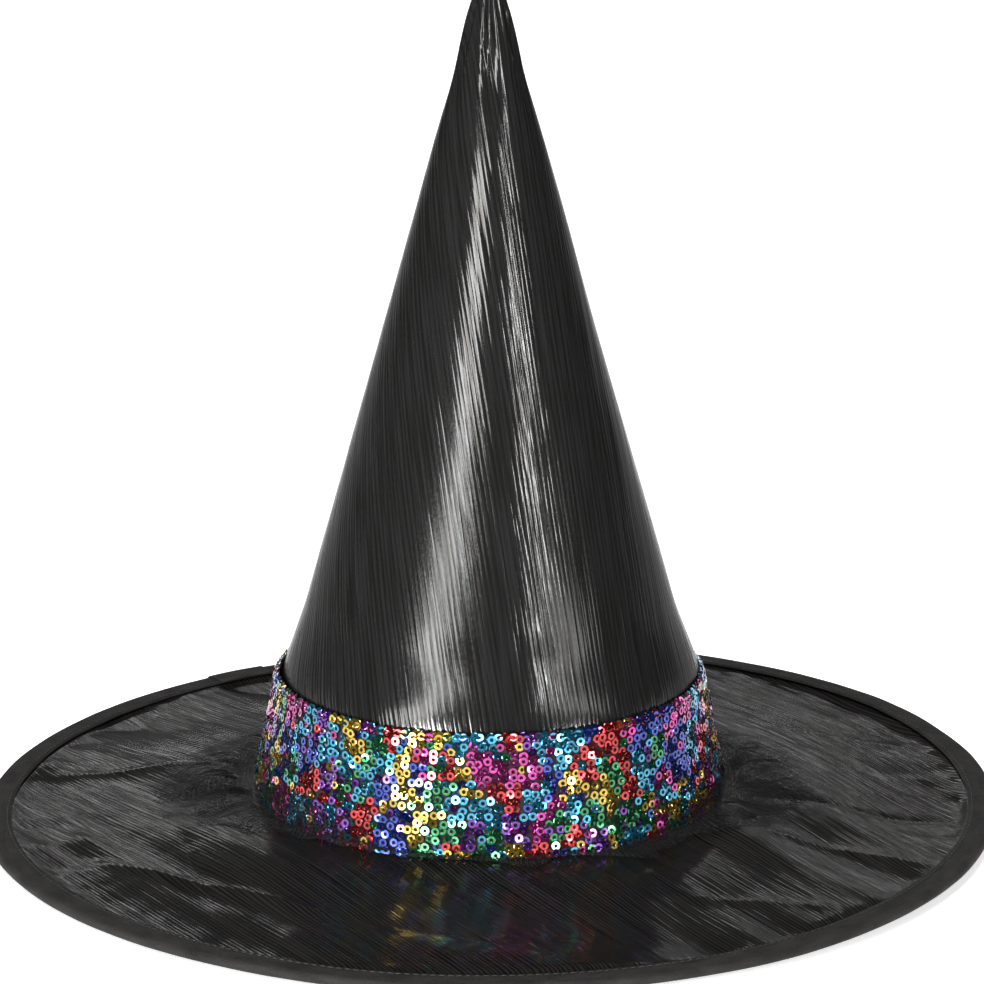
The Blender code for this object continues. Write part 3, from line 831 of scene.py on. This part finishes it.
SEQUIN_RADIUS = 1.85 * MM
SEQUIN_HOLE = 0.66 * MM
SEQUIN_PITCH = 3.5 * MM
EDGE_PITCH = 3.4 * MM                       # of the row that is sewn along the band's top edge
BAND_MEAN = 0.091                           # radius that the band's own lengths are measured at
BLOTCH_WIDE = 8.4 * MM                      # distance between blotches of one colour round the band
BLOTCH_TALL = 11.5 * MM
STRAY_SHARE = 0.14                          # of the sequins that have another colour than their blotch
FOILS = {
    "red": (0.40, 0.012, 0.014),
    "gold": (0.44, 0.29, 0.03),
    "green": (0.010, 0.17, 0.055),
    "cyan": (0.020, 0.23, 0.37),
    "blue": (0.014, 0.036, 0.27),
    "violet": (0.10, 0.020, 0.22),
    "magenta": (0.36, 0.020, 0.19),
}
FOIL_SHARES = (0.18, 0.16, 0.18, 0.18, 0.14, 0.04, 0.12)    # of the blotches, in the order of FOILS


def band_sag(angle, height):
    """The band's lower edge hangs lower on the front left and rides up a little elsewhere."""
    share = 1.0 - (height - BAND_LOW.z) / (BAND_HIGH.z - BAND_LOW.z)
    low = 2.6 * bell(turned(angle - math.radians(222.0)), 0.42)
    return (0.35 * np.sin(3.0 * angle + 0.5) - low) * MM * share


def band_place(angle, height):
    """A point of the sequin layer's outer surface."""
    radius = np.interp(height, BAND_Z, BAND_R) - 0.8 * MM * smooth_step(BAND_LOW.z, BAND_HIGH.z, height)
    return polar(radius, angle, height + band_sag(angle, height))


def foil_of(angle, height):
    """Which foil a sequin has: blotches round scattered seeds, each of one colour."""
    spaced = np.arange(0.0, TAU, BLOTCH_WIDE / BAND_MEAN), np.arange(0.0, 0.066, BLOTCH_TALL)
    seed_angle, seed_height = np.meshgrid(*spaced)
    seed_angle = seed_angle.ravel() + random.uniform(-0.45, 0.45, seed_angle.size) * 7.4 * MM / BAND_MEAN
    seed_height = seed_height.ravel() + random.uniform(-0.45, 0.45, seed_height.size) * 10.5 * MM
    lean = random.uniform(-0.8, 0.8, seed_angle.size)
    order = random.choice(len(FOILS), seed_angle.size, p=FOIL_SHARES)
    place = np.stack([angle * BAND_MEAN, height], axis=-1) / MM
    across = angle * BAND_MEAN + 2.2 * MM * cloth_noise(place, 9.0, 9.0, 9.0, 31)
    up = height + 2.2 * MM * cloth_noise(place, 9.0, 9.0, 19.0, 32)
    gap = turned((across[:, None] - seed_angle * BAND_MEAN) / BAND_MEAN) * BAND_MEAN
    rise = up[:, None] - seed_height
    skewed = gap - lean * rise
    nearest = np.argmin((skewed / 0.78) ** 2 + (rise / 1.25) ** 2, axis=1)
    return order[nearest].astype(int)


def sequin_ring(sides=14):
    """One cupped ring sequin in the XY plane facing +Z: points and quads."""
    turn = ring(sides)
    section = ((SEQUIN_HOLE, 0.0), (SEQUIN_HOLE + 0.12 * MM, 0.10 * MM),
               (SEQUIN_RADIUS - 0.20 * MM, 0.11 * MM), (SEQUIN_RADIUS, 0.0),
               (SEQUIN_RADIUS * 0.75, -0.06 * MM))
    points = np.concatenate([polar(radius, turn, height) for radius, height in section])
    count = len(section)
    row, column = np.meshgrid(np.arange(count), np.arange(sides), indexing="ij")
    after, up = (column + 1) % sides, (row + 1) % count
    row, up = row * sides, up * sides
    quads = np.stack([row + column, up + column, up + after, row + after], axis=-1)
    return points, quads.reshape(-1, 4)


def turned_frames(normals, spins):
    """Rotation matrices (n, 3, 3) whose third column is the normal."""
    helper = np.where(np.abs(normals[:, 2:3]) < 0.9, np.array([[0.0, 0.0, 1.0]]), np.array([[1.0, 0.0, 0.0]]))
    first = np.cross(helper, normals)
    first /= np.linalg.norm(first, axis=1, keepdims=True)
    second = np.cross(normals, first)
    spun = first * np.cos(spins)[:, None] + second * np.sin(spins)[:, None]
    return np.stack([spun, np.cross(normals, spun), normals], axis=-1)


def sequin_rows(low, high, start, end):
    """Angles and heights of staggered rows of sequins between two angles."""
    angles, levels = [], []
    heights = np.linspace(low, high, int((high - low) / (SEQUIN_PITCH * 0.84)) + 1)
    for index, height in enumerate(heights):
        around = int((end - start) * np.interp(height, BAND_Z, BAND_R) / SEQUIN_PITCH)
        first = random.random()
        angles.append(start + (end - start) * (np.arange(around) + first + 0.5 * (index % 2)) / around)
        levels.append(np.full(around, height))
    angle = np.concatenate(angles)
    height = np.concatenate(levels)
    angle = angle + random.normal(0.0, 0.45 * MM, len(angle)) / BAND_MEAN
    height = np.clip(height + random.normal(0.0, 0.38 * MM, len(height)), low, high)
    return angle, height


def sequin_places():
    """Angles, heights, centres and normals of every sequin: the band, its lapped end and its top edge."""
    low, high = BAND_LOW.z + 1.2 * MM, BAND_HIGH.z - 1.0 * MM
    angle, height = sequin_rows(low, high, 0.0, TAU)
    lap_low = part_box("sequin_band_lap")[0]
    lap_start, lap_end = np.radians([87.5, 94.5])
    lap_angle, lap_height = sequin_rows(lap_low.z + 1.0 * MM, high, lap_start, lap_end)
    edge_count = int(TAU * BAND_MEAN / EDGE_PITCH)
    edge_angle = TAU * (np.arange(edge_count) + random.uniform(-0.3, 0.3, edge_count)) / edge_count
    edge_height = np.full(edge_count, BAND_HIGH.z - 0.25 * MM)
    count = len(angle)
    angle = np.concatenate([angle, lap_angle, edge_angle])
    height = np.concatenate([height, lap_height, edge_height])
    outward = polar(1.0, angle, 0.170)
    outward /= np.linalg.norm(outward, axis=1, keepdims=True)
    proud = random.uniform(-0.55, 0.30, len(angle))
    proud[count:count + len(lap_angle)] += 1.35
    proud[-edge_count:] = -0.4 + 0.3 * proud[-edge_count:]
    tilt = np.where(random.random((len(angle), 1)) < 0.35, 0.19, 0.062)
    tilt[-edge_count:] = 0.06
    normals = outward + random.normal(0.0, 1.0, (len(angle), 3)) * tilt
    normals[-edge_count:, 2] += random.uniform(0.3, 1.3, edge_count)
    normals /= np.linalg.norm(normals, axis=1, keepdims=True)
    centres = band_place(angle, height) + outward * proud[:, None] * MM
    return angle, height, centres, normals


def sequins(look):
    angle, height, centres, normals = sequin_places()
    names = list(FOILS)
    choice = foil_of(angle, height)
    stray = random.random(len(angle)) < STRAY_SHARE
    choice = np.where(stray, (choice + random.integers(1, 4, len(angle))) % len(names), choice)
    frames = turned_frames(normals, random.uniform(0.0, TAU, len(angle)))
    shape, quads = sequin_ring()
    made = []
    for index, name in enumerate(names):
        chosen = np.flatnonzero(choice == index)
        points = np.einsum("nij,kj->nki", frames[chosen], shape) + centres[chosen][:, None, :]
        faces = quads[None] + (np.arange(len(chosen)) * len(shape))[:, None, None]
        piece = link_mesh(f"sequins_{name}", points.reshape(-1, 3), faces.reshape(-1, 4), look, smooth=False)
        colour = np.array(FOILS[name])[None] * random.uniform(0.65, 1.15, (len(chosen), 1))
        colour = np.concatenate([colour, np.ones((len(chosen), 1))], axis=1)
        layer = piece.data.color_attributes.new("foil", "FLOAT_COLOR", "POINT")
        layer.data.foreach_set("color", np.repeat(colour, len(shape), axis=0).astype(np.float32).ravel())
        made.append(piece)
    return made


def band_cloth(angle, z):
    return np.stack([z, angle * BAND_MEAN], axis=-1) / MM


def band_backing(look):
    """The knitted ground that the sequins are stitched to."""
    heights = np.linspace(BAND_LOW.z + 0.2 * MM, BAND_HIGH.z - 0.2 * MM, 14)
    angle, z = np.meshgrid(ring(360, 1), heights)
    depth = 1.15 * MM - 0.15 * MM * ring_noise(angle, z, 80.0, 0.006, 41)
    surface = band_place(angle, z) - polar(depth, angle, 0.0)
    return sheet_mesh("sequin_ground", surface, band_cloth(angle, z), 0.45 * MM, look)


def lap_backing(look):
    heights = np.linspace(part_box("sequin_band_lap")[0].z, BAND_HIGH.z - 0.3 * MM, 10)
    angles = np.radians(np.linspace(86.5, 95.2, 16))
    angle, z = np.meshgrid(angles, heights)
    surface = band_place(angle, z) + polar(0.55 * MM, angle, 0.0)
    return sheet_mesh("sequin_lap_ground", surface, band_cloth(angle, z), 0.35 * MM, look, False)


# ---- tulle

TULLE_COLUMNS = 1500
TULLE_ROWS = 26
TULLE_MEAN = 0.108                          # radius of the middle of the net
TULLE_FULLNESS = 1.25                       # length of cloth over the length that it covers
TULLE_WIDTH = 42.0 * MM
TULLE_LEAST = 97.0                          # millimetres to the free edge where the net is narrow


def around_bell(angle, degrees, width):
    return bell(turned(angle - math.radians(degrees)), math.radians(width))


def veil_top(angle):
    """How far up the band the gathered net starts, above the band's lower edge."""
    height = 1.6 + 12.5 * around_bell(angle, 214.0, 17.0) + 7.0 * around_bell(angle, 338.0, 20.0)
    back = smooth_step(-0.1, 0.5, np.sin(angle))
    return (height + back * (5.0 + 3.0 * np.sin(5.0 * angle + 1.0))) * MM


def tulle_reach(angle):
    """Radius that the net's free edge spreads to."""
    sides = 34.0 * around_bell(angle, 184.0, 30.0) + 35.0 * around_bell(angle, 355.0, 30.0)
    back = 14.0 * smooth_step(0.0, 0.7, np.sin(angle))
    front = 7.0 * around_bell(angle, 278.0, 5.0) + 10.0 * around_bell(angle, 305.0, 8.0)
    return (TULLE_LEAST + sides + back + front) * MM


def tulle(name, look, seed, fold_count, reach_share):
    """One ply of the gathered net: it starts on the band, turns out over the brim and lies in loose folds."""
    turn, v = np.meshgrid(ring(TULLE_COLUMNS, 1), np.linspace(0.0, 1.0, TULLE_ROWS))
    slow = ring_noise(turn, 0.0 * turn, 13.0, 1.0, seed)
    phase = fold_count * turn + 3.2 * slow + 1.4 * ring_noise(turn, v, 9.0, 0.6, seed + 1)
    spread = smooth_step(0.05, 0.55, v)
    sway = (1.7 + 1.3 * slow) * MM / TULLE_MEAN
    angle = turn + spread * sway * np.sin(phase)
    start = BAND_LOW.z + veil_top(turn)
    on_band = np.interp(start, BAND_Z, BAND_R) + 1.1 * MM
    corner = BAND_R[0] + (1.2 + 1.8 * smooth_step(0.0, 12.0, tulle_reach(turn) / MM - TULLE_LEAST)) * MM
    ragged = 1.0 + 0.30 * ring_noise(turn, 0.0 * v, 26.0, 1.0, seed + 2) + 0.16 * np.sin(phase)
    end = corner + (tulle_reach(turn) - corner) * reach_share * ragged
    down = np.clip(v / 0.35, 0.0, 1.0)
    out = np.clip((v - 0.25) / 0.75, 0.0, 1.0)
    radius = on_band + (corner - on_band) * down + (end - corner) * out
    floor_z = brim_top(radius) + rim_lift(angle, radius) + np.clip(brim_wrinkles(angle, radius), 0.0, None)
    fall = (1.0 - down) ** 1.3
    wave = 0.5 + 0.5 * np.cos(phase + 0.9)
    loft = (1.0 + 4.6 * (around_bell(turn, 188.0, 30.0) + around_bell(turn, 352.0, 30.0))) * MM
    loft = loft + 2.0 * MM * smooth_step(0.0, 0.8, np.sin(turn))
    crumple = 0.5 + 0.3 * ring_noise(turn, v, 70.0, 0.22, seed + 3)
    crumple = crumple + 0.2 * ring_noise(turn, v, 160.0, 0.1, seed + 4)
    ruffle = loft * (0.6 * wave + 0.9 * crumple) * np.sin(math.pi * (0.12 + 0.80 * v)) * spread
    resting = floor_z + (0.9 + 0.4 * wave) * MM + ruffle
    z = resting + (start - resting) * fall
    radius = radius + 0.6 * MM * wave * (1.0 - spread)
    cloth = np.stack([turn * TULLE_MEAN * TULLE_FULLNESS, v * TULLE_WIDTH], axis=-1) / MM
    return sheet_mesh(name, polar(radius, angle, z), cloth, 0.06 * MM, look)


def knots(name, node, look):
    """A small tied knot of thread where the net is tacked down."""
    centre = np.mean(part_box(node), axis=0)
    outward = np.array([centre[0], centre[1], 0.0]) / np.hypot(centre[0], centre[1])
    sideways = np.array([-outward[1], outward[0], 0.0])
    up = np.array([0.0, 0.0, 1.0])
    t = np.linspace(0.0, 1.0, 60)[:, None]
    loop = 0.9 * MM * np.sin(TAU * 2.0 * t) * sideways + 0.55 * MM * np.sin(TAU * 3.0 * t + 0.6) * up
    loop = loop + 0.35 * MM * np.cos(TAU * 5.0 * t) * outward
    tails = np.clip(np.abs(t - 0.5) - 0.42, 0.0, None) * 30.0 * MM * (sideways * np.sign(t - 0.5) - 0.6 * up)
    path = centre + loop + tails
    normal = np.tile(outward, (60, 1))
    return bars(name, path[None], normal[None], np.full(60, 0.17 * MM), look, 6)


# ---- put together

def put(piece, slot, *nodes):
    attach(piece, "root")
    if nodes:
        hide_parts(*nodes)
    return piece


def ring_path(node):
    """Points and inward normals along a turned CAD thread, over its own arc, and whether it closes."""
    points = cad_points(node)
    radii = np.hypot(points[:, 0], points[:, 1])
    first, last, closed = arc_of(node)
    angle = ring(360) if closed else np.linspace(first, last, 60)
    middle = 0.5 * (points[:, 2].max() + points[:, 2].min())
    return polar(0.5 * (radii.max() + radii.min()), angle, middle), -polar(1.0, angle, 0.0), closed


def crown_seam_stitches(look):
    """Stitches down the cone's back seam, along the CAD thread's inner side."""
    low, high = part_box("crown_seam_thread")
    z = np.linspace(low.z, high.z, 80)
    points = cad_points("crown_seam_thread")
    y = np.interp(z, np.sort(points[:, 2]), -np.sort(-points[:, 1])) - 0.1 * MM
    path = np.stack([0.0 * z, y, z], axis=-1)
    return stitches("crown_seam_stitches", path, np.tile([0.0, -1.0, 0.0], (80, 1)), 3.0 * MM, look, False)


def inside_stitches(name, node, look, pitch=3.0 * MM):
    """Stitches that show on the inside of the hat, in place of a CAD thread."""
    path, normals, closed = ring_path(node)
    return put(stitches(name, path, normals, pitch, look, closed), "thread", node)


def build():
    camera()
    floor()
    lights()
    crown_look, brim_look, tape_look = crown_satin(), brim_satin(), binding_look()
    thread, felt, steel, ribbon, label = thread_look(), felt_look(), steel_look(), ribbon_look(), label_look()
    foil, ground_look, net = sequin_look(), knit_look(), net_look()
    band_tacks = [f"sequin_band_tack_{number}" for number in (1, 2, 3, 4)]
    for node in ("tip_bartack", "tulle_gather_thread", *band_tacks):
        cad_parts[node].data.materials[0] = thread

    cone = put(crown(crown_look), "crown_satin", "crown_shell")
    stiffener = put(crown_lining(felt), "interlining", "crown_interlining")
    allowance = inside_patch("crown_seam_flap", "crown_seam_allowance", crown_look,
                             0.35 * MM, 0.15 * MM, 60, 10)
    put(allowance, "crown_satin", "crown_seam_allowance")
    put(crown_seam_stitches(thread), "thread", "crown_seam_thread")

    cover = brim_layer("brim_satin_top", "brim_top_cover", 0.3 * MM, 2.0 * MM, brim_look)
    core = brim_layer("brim_stiffener", "brim_interlining", 0.7 * MM, 1.4 * MM, felt, -0.2 * MM)
    under = brim_layer("brim_satin_under", "brim_under_cover", 0.25 * MM, 0.5 * MM, brim_look, -0.1 * MM)
    put(cover, "brim_satin", "brim_top_cover")
    put(core, "interlining", "brim_interlining")
    put(under, "brim_satin", "brim_under_cover")
    collar = put(brim_collar(brim_look), "brim_satin")
    tape = put(binding(tape_look), "binding_tape", "rim_binding")
    end = put(binding_end(tape_look), "binding_tape", "rim_binding_end")
    wire, ferrule = rim_wire(steel)
    put(wire, "wire_steel", "brim_wire")
    put(ferrule, "wire_steel", "brim_wire_ferrule")
    up = np.tile([0.0, 0.0, 1.0], (720, 1))
    needle = rim_path(TAPE_WIDTH - 1.4 * MM, RIM_THICKNESS + 0.22 * MM)
    bobbin = rim_path(TAPE_WIDTH - 1.4 * MM, 0.16 * MM)
    upper = stitches("rim_needle_stitches", needle, up, 3.2 * MM, thread)
    lower = stitches("rim_bobbin_stitches", bobbin, -up, 3.2 * MM, thread, radius=0.12 * MM)
    put(upper, "thread", "rim_needle_thread")
    put(lower, "thread", "rim_bobbin_thread")

    head_band = inside_patch("head_ribbon", "sweatband", ribbon, 0.4 * MM, 0.35 * MM, 14, 300)
    head_lap = inside_patch("head_ribbon_lap", "sweatband_lap", ribbon, 0.4 * MM, 0.1 * MM, 14, 16)
    tab = inside_patch("woven_label", "care_label", label, 0.3 * MM, 0.25 * MM, 20, 24)
    put(head_band, "ribbon", "sweatband")
    put(head_lap, "ribbon", "sweatband_lap")
    put(tab, "label_satin", "care_label")
    inside_stitches("head_seam_stitches", "head_seam_thread", thread)
    inside_stitches("ribbon_stitches", "sweatband_thread", thread)
    inside_stitches("label_stitches", "care_label_thread", thread, 1.8 * MM)

    foils = sequins(foil)
    for index, piece in enumerate(foils):
        put(piece, "sequin", *(["sequin_layer"] if index == 0 else []))
    ground = put(band_backing(ground_look), "sequin_net", "sequin_net")
    lap = put(lap_backing(ground_look), "sequin_net", "sequin_band_lap")

    upper_net = put(tulle("tulle_upper_ply", net, 51, 31.0, 1.0), "tulle_net", "tulle_wrap")
    lower_net = put(tulle("tulle_lower_ply", net, 71, 37.0, 0.85), "tulle_net")
    for number in (1, 2, 3):
        put(knots(f"tulle_knot_{number}", f"tulle_tack_{number}", thread), "thread", f"tulle_tack_{number}")


build()
